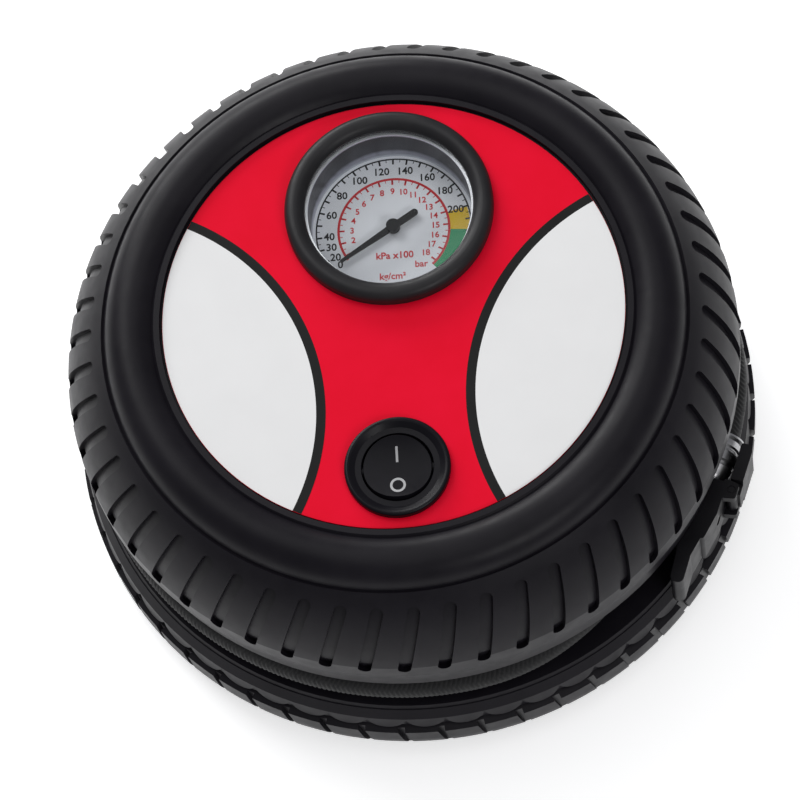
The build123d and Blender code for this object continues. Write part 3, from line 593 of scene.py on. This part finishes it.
def braid_faces(count):
    """The skin between the rings, and the two ends."""
    faces = []
    for i in range(count):
        a, b = i * BRAID_AROUND, (i + 1) * BRAID_AROUND
        for k in range(BRAID_AROUND):
            after = (k + 1) % BRAID_AROUND
            faces.append((a + k, a + after, b + after, b + k))
    last = count * BRAID_AROUND
    faces.append(tuple(reversed(range(BRAID_AROUND))))
    faces.append(tuple(range(last, last + BRAID_AROUND)))
    return faces


def add_hose():
    """The braided hose, as one mesh tube round its route."""
    line = smooth_line(hose_route(), HOSE_RESOLUTION)
    points, count = braid_points(line)
    hose = mesh_piece("braided_hose", points, braid_faces(count), "braid", slot="braid")
    fix_normals(hose)
    shade_smooth(hose)
    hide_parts("air_hose")


def fix_normals(piece):
    mesh = bmesh.new()
    mesh.from_mesh(piece.data)
    bmesh.ops.recalc_face_normals(mesh, faces=mesh.faces)
    mesh.to_mesh(piece.data)
    mesh.free()


def shade_smooth(piece):
    for face in piece.data.polygons:
        face.use_smooth = len(face.vertices) < 5


# ---------------------------------------------------------------- printed face

PANEL_CENTRE_X = 69.0 * MM
PANEL_CENTRE_Y = -22.0 * MM
PANEL_RADIUS = 53.6 * MM
LINE_WIDTH = 2.1 * MM
PRINT_EDGE = 0.06 * MM
PRINT_LOW = face_top - 0.02 * MM
PRINT_HIGH = face_top + 0.05 * MM
PRINT_STEPS = 72


def crossing_angles(radius, rim):
    """Where a circle round the panel's centre meets the face's rim, as angles from that centre."""
    distance = math.hypot(PANEL_CENTRE_X, PANEL_CENTRE_Y)
    half = math.acos((radius**2 + distance**2 - rim**2) / (2 * radius * distance))
    toward = math.degrees(math.atan2(-PANEL_CENTRE_Y, -PANEL_CENTRE_X)) % 360
    return toward - math.degrees(half), toward + math.degrees(half)


def rim_angles(radius, rim):
    """The same two crossings as angles from the face's centre."""
    places = []
    for angle in crossing_angles(radius, rim):
        a = math.radians(angle)
        x = PANEL_CENTRE_X + radius * math.cos(a)
        y = PANEL_CENTRE_Y + radius * math.sin(a)
        places.append(math.degrees(math.atan2(y, x)))
    return places


def face_panel():
    """The outline of the right-hand white panel, a lens between the rim and a circle."""
    rim = face_radius - PRINT_EDGE
    inner = PANEL_RADIUS - LINE_WIDTH
    first, last = crossing_angles(inner, rim)
    low, high = sorted(rim_angles(inner, rim))
    inside = arc_points((PANEL_CENTRE_X, PANEL_CENTRE_Y), inner, first, last, PRINT_STEPS)
    outside = arc_points((0, 0), rim, low, high, PRINT_STEPS)
    return outside[:-1] + inside[:-1]


def face_line():
    """The black line between the panel and the red."""
    rim = face_radius - PRINT_EDGE
    centre = (PANEL_CENTRE_X, PANEL_CENTRE_Y)
    inner = PANEL_RADIUS - LINE_WIDTH
    near = arc_points(centre, inner, *crossing_angles(inner, rim), PRINT_STEPS)
    far = arc_points(centre, PANEL_RADIUS, *crossing_angles(PANEL_RADIUS, rim), PRINT_STEPS)
    return near[::-1] + far


def mirrored(outline):
    return [(-x, y) for x, y in reversed(outline)]


def add_face_print():
    """Two white panels with their black lines, laid on the red face."""
    prints = (("panel", face_panel(), "white"), ("panel_line", face_line(), "line"))
    for name, outline, material in prints:
        sides = (outline, mirrored(outline))
        shapes = [slab(side, PRINT_LOW, PRINT_HIGH) for side in sides]
        piece = mesh_piece("face_" + name, *join_shapes(shapes), material, slot="face_print")
        fix_normals(piece)


# ---------------------------------------------------------------- dial

INK_LOW = dial_top - 0.02 * MM
INK_HIGH = dial_top + 0.03 * MM
ZONE_HIGH = dial_top + 0.01 * MM
TEXT_HALF = 0.04 * MM
TEXT_WEIGHT = 0.018
SCALE_START = 213.0
SCALE_END = -47.5
OUTER_RADIUS = 17.3 * MM
INNER_RADIUS = 12.2 * MM
ZONE_TURN = -4.0
ZONE_START = 15.5
OUTER_ZERO = 225.5
OUTER_STEP = 1.05
INNER_ZERO = 222.4
INNER_STEP = 14.7
ARC_STEPS = 80
ZONE_STEPS = 24
FINE_TICK = (0.6 * MM, 0.16 * MM)
MAIN_TICK = (1.1 * MM, 0.42 * MM)
# Each unit's name, words, size and place from the dial's centre
UNITS = (
    ("unit_outer", "kPa x100", 2.3, (0, -6.5)),
    ("unit_inner", "bar", 2.2, (5.9, -9.0)),
    ("unit_third", "kg/cm\u00b2", 2.2, (-0.6, -11.6)),
)


def outer_angle(value):
    """Where a reading of the black scale stands; its zero is drawn in at the stop."""
    return min(SCALE_START, OUTER_ZERO - OUTER_STEP * value)


def inner_angle(value):
    """Where a reading of the red scale stands."""
    return INNER_ZERO - INNER_STEP * value


def dial_spot(radius, angle_deg):
    a = math.radians(angle_deg)
    return gauge_centre.x + radius * math.cos(a), gauge_centre.y + radius * math.sin(a)


def tick(radius, length, width, angle_deg):
    """A short mark that runs inwards from a radius."""
    a = math.radians(angle_deg)
    along, across = (math.cos(a), math.sin(a)), (-math.sin(a), math.cos(a))
    corners = [(-length, -width / 2), (0, -width / 2), (0, width / 2), (-length, width / 2)]
    x, y = dial_spot(radius, angle_deg)
    outline = [
        (x + u * along[0] + v * across[0], y + u * along[1] + v * across[1]) for u, v in corners
    ]
    return slab(outline, INK_LOW, INK_HIGH)


def arc_line(radius, width, start_deg, end_deg):
    outline = band(gauge_centre, radius, radius + width, start_deg, end_deg, ARC_STEPS)
    return slab(outline, INK_LOW, INK_HIGH)


def dial_text(name, words, size, place, material):
    """Flat printed characters on the dial as a thin mesh, centred at a place."""
    font = bpy.data.curves.new(name, "FONT")
    font.body = words
    font.size = size
    font.align_x = "CENTER"
    font.align_y = "CENTER"
    font.resolution_u = 3
    font.extrude = TEXT_HALF
    font.offset = size * TEXT_WEIGHT
    holder = bpy.data.objects.new(name, font)
    mesh = bpy.data.meshes.new_from_object(holder)
    bpy.data.objects.remove(holder)
    bpy.data.curves.remove(font)
    mesh.transform(Matrix.Translation((*place, INK_HIGH)))
    as_piece(name, mesh, material)


def add_scale(name, material, radius, width, angles, marks):
    """One scale: its arc, its fine and main ticks, and its numbers."""
    where, fine, main = angles
    shapes = [arc_line(radius, width, SCALE_END, SCALE_START)]
    shapes += [tick(radius, *FINE_TICK, where(value)) for value in fine]
    shapes += [tick(radius, *MAIN_TICK, where(value)) for value in main]
    mesh_piece(name + "_scale", *join_shapes(shapes), material, slot="dial_print")
    numbers, size, digit_radius = marks
    for value in numbers:
        place = dial_spot(digit_radius, where(value))
        dial_text(f"{name}_number_{value}", str(value), size, place, material)


def add_zones():
    """The yellow and green stretches at the high end of the scales."""
    near, far = INNER_RADIUS + 0.2 * MM, OUTER_RADIUS - 0.1 * MM
    for name, start, end in (("yellow", ZONE_TURN, ZONE_START), ("green", SCALE_END, ZONE_TURN)):
        outline = band(gauge_centre, near, far, start, end, ZONE_STEPS)
        zone = slab(outline, INK_LOW, ZONE_HIGH)
        mesh_piece("dial_zone_" + name, *zone, "dial_" + name, slot="dial_print")


def add_dial():
    """The zones, both scales and the names of their units."""
    add_zones()
    fine = range(15, 231, 5)
    main = [0, *range(20, 261, 10)]
    numbers = ([0, 30, *range(20, 201, 20)], 2.45 * MM, 14.6 * MM)
    add_scale("outer", "ink", OUTER_RADIUS, 0.35 * MM, (outer_angle, fine, main), numbers)
    fine = [1 + i / 2 for i in range(35)]
    main = range(1, 19)
    numbers = (range(2, 19), 2.0 * MM, 9.4 * MM)
    add_scale("inner", "dial_red", INNER_RADIUS, 0.55 * MM, (inner_angle, fine, main), numbers)
    for name, words, size, (x, y) in UNITS:
        place = (gauge_centre.x + x * MM, gauge_centre.y + y * MM)
        dial_text(name, words, size * MM, place, "dial_red")


# ---------------------------------------------------------------- switch marks

PADDLE_LOW = 1.9 * MM
PADDLE_CURVE = 17.45 * MM
PADDLE_TILT = math.radians(6.0)
MARK_SUNK = 0.03 * MM
MARK_PROUD = 0.05 * MM
LINE_PLACE = 2.9 * MM
LINE_HALF_LENGTH = 1.7 * MM
LINE_HALF_WIDTH = 0.26 * MM
RING_PLACE = -4.1 * MM
RING_INNER = 1.2 * MM
RING_OUTER = 1.72 * MM
RING_POINTS = 49
WELD_DISTANCE = 1e-7


def on_paddle(x, y, above):
    """A point on the dished paddle, or a little above it, at its rest tilt."""
    height = PADDLE_LOW + PADDLE_CURVE - math.sqrt(PADDLE_CURVE**2 - y**2) + above
    pivot = Vector(joint_named("rocker_tilt")["pos_m"])
    return pivot + Matrix.Rotation(PADDLE_TILT, 3, "X") @ Vector((x, y, height))


def paddle_mark(name, left, right):
    """A thin raised strip between two rails of points that follows the paddle's dish."""
    closed = left[0] == left[-1]
    points, faces = [], []
    for (x1, y1), (x2, y2) in zip(left, right):
        for above in (-MARK_SUNK, MARK_PROUD):
            points += [on_paddle(x1, y1, above), on_paddle(x2, y2, above)]
    for i in range(len(left) - 1):
        a, b = 4 * i, 4 * (i + 1)
        faces += [(a, a + 1, b + 1, b), (a + 2, b + 2, b + 3, a + 3)]
        faces += [(a, b, b + 2, a + 2), (a + 1, a + 3, b + 3, b + 1)]
    if not closed:
        last = 4 * (len(left) - 1)
        faces += [(0, 2, 3, 1), (last, last + 1, last + 3, last + 2)]
    name = "switch_mark_" + name
    piece = mesh_piece(name, points, faces, "mark", body="rocker", slot="dial_print")
    weld(piece)
    fix_normals(piece)


def weld(piece):
    mesh = bmesh.new()
    mesh.from_mesh(piece.data)
    bmesh.ops.remove_doubles(mesh, verts=mesh.verts, dist=WELD_DISTANCE)
    mesh.to_mesh(piece.data)
    mesh.free()


def add_switch_marks():
    """The line for on and the ring for off, printed on the paddle."""
    steps = [LINE_PLACE + (i / 4 - 1) * LINE_HALF_LENGTH for i in range(9)]
    paddle_mark("on", [(-LINE_HALF_WIDTH, y) for y in steps], [(LINE_HALF_WIDTH, y) for y in steps])
    centre = (0, RING_PLACE)
    inner = arc_points(centre, RING_INNER, 0, 360, RING_POINTS)
    outer = arc_points(centre, RING_OUTER, 0, 360, RING_POINTS)
    inner[-1], outer[-1] = inner[0], outer[0]
    paddle_mark("off", inner, outer)


# ---------------------------------------------------------------- floor and light


FLOOR_HALF = 3.0
FLOOR_LEVEL = -0.1 * MM


def add_floor():
    """A plain white sheet just under the feet, with a faint glow that keeps its shadows pale."""
    mesh = bpy.data.meshes.new("floor")
    signs = ((-1, -1), (1, -1), (1, 1), (-1, 1))
    corners = [(x * FLOOR_HALF, y * FLOOR_HALF, FLOOR_LEVEL) for x, y in signs]
    mesh.from_pydata(corners, [], [(0, 1, 2, 3)])
    floor = bpy.data.objects.new("floor", mesh)
    bpy.context.collection.objects.link(floor)
    s = Shader("floor_paper")
    s.colour(s.spread(s.noise(3.0), 0.0, 1.0), (0.955, 0.955, 0.955), (0.97, 0.97, 0.97))
    s.set(Roughness=0.9, Specular_IOR_Level=0.1, Emission_Strength=0.5)
    mesh.materials.append(s.material)


LIGHT_TARGET = Vector((0, 0, 0.05))
WORLD_COLOUR = (0.95, 0.96, 1.0, 1)
WORLD_STRENGTH = 0.25


def add_light(name, place, size, power):
    """A large soft panel that faces the object."""
    data = bpy.data.lights.new(name, "AREA")
    data.shape = "RECTANGLE"
    data.size, data.size_y = size
    data.energy = power
    light = bpy.data.objects.new(name, data)
    light.location = place
    way = LIGHT_TARGET - Vector(place)
    light.rotation_euler = way.to_track_quat("-Z", "Y").to_euler()
    bpy.context.collection.objects.link(light)


def add_world():
    world = bpy.data.worlds.new("studio")
    world.use_nodes = True
    background = world.node_tree.nodes["Background"]
    background.inputs["Color"].default_value = WORLD_COLOUR
    background.inputs["Strength"].default_value = WORLD_STRENGTH
    bpy.context.scene.world = world


def add_studio():
    add_world()
    add_light("key", (-0.65, 0.75, 1.1), (0.7, 0.7), 6.5)
    add_light("top", (0.15, 0.1, 1.9), (1.6, 1.6), 8)
    add_light("back", (-0.6, 1.2, 0.5), (1.0, 0.4), 12)
    add_light("front", (0.65, -0.9, 0.95), (0.5, 0.4), 4.5)


# ---------------------------------------------------------------- build

bpy.context.scene.view_settings.view_transform = "Standard"
paint_nodes()
add_camera()
add_hose()
add_face_print()
add_dial()
add_switch_marks()
add_floor()
add_studio()
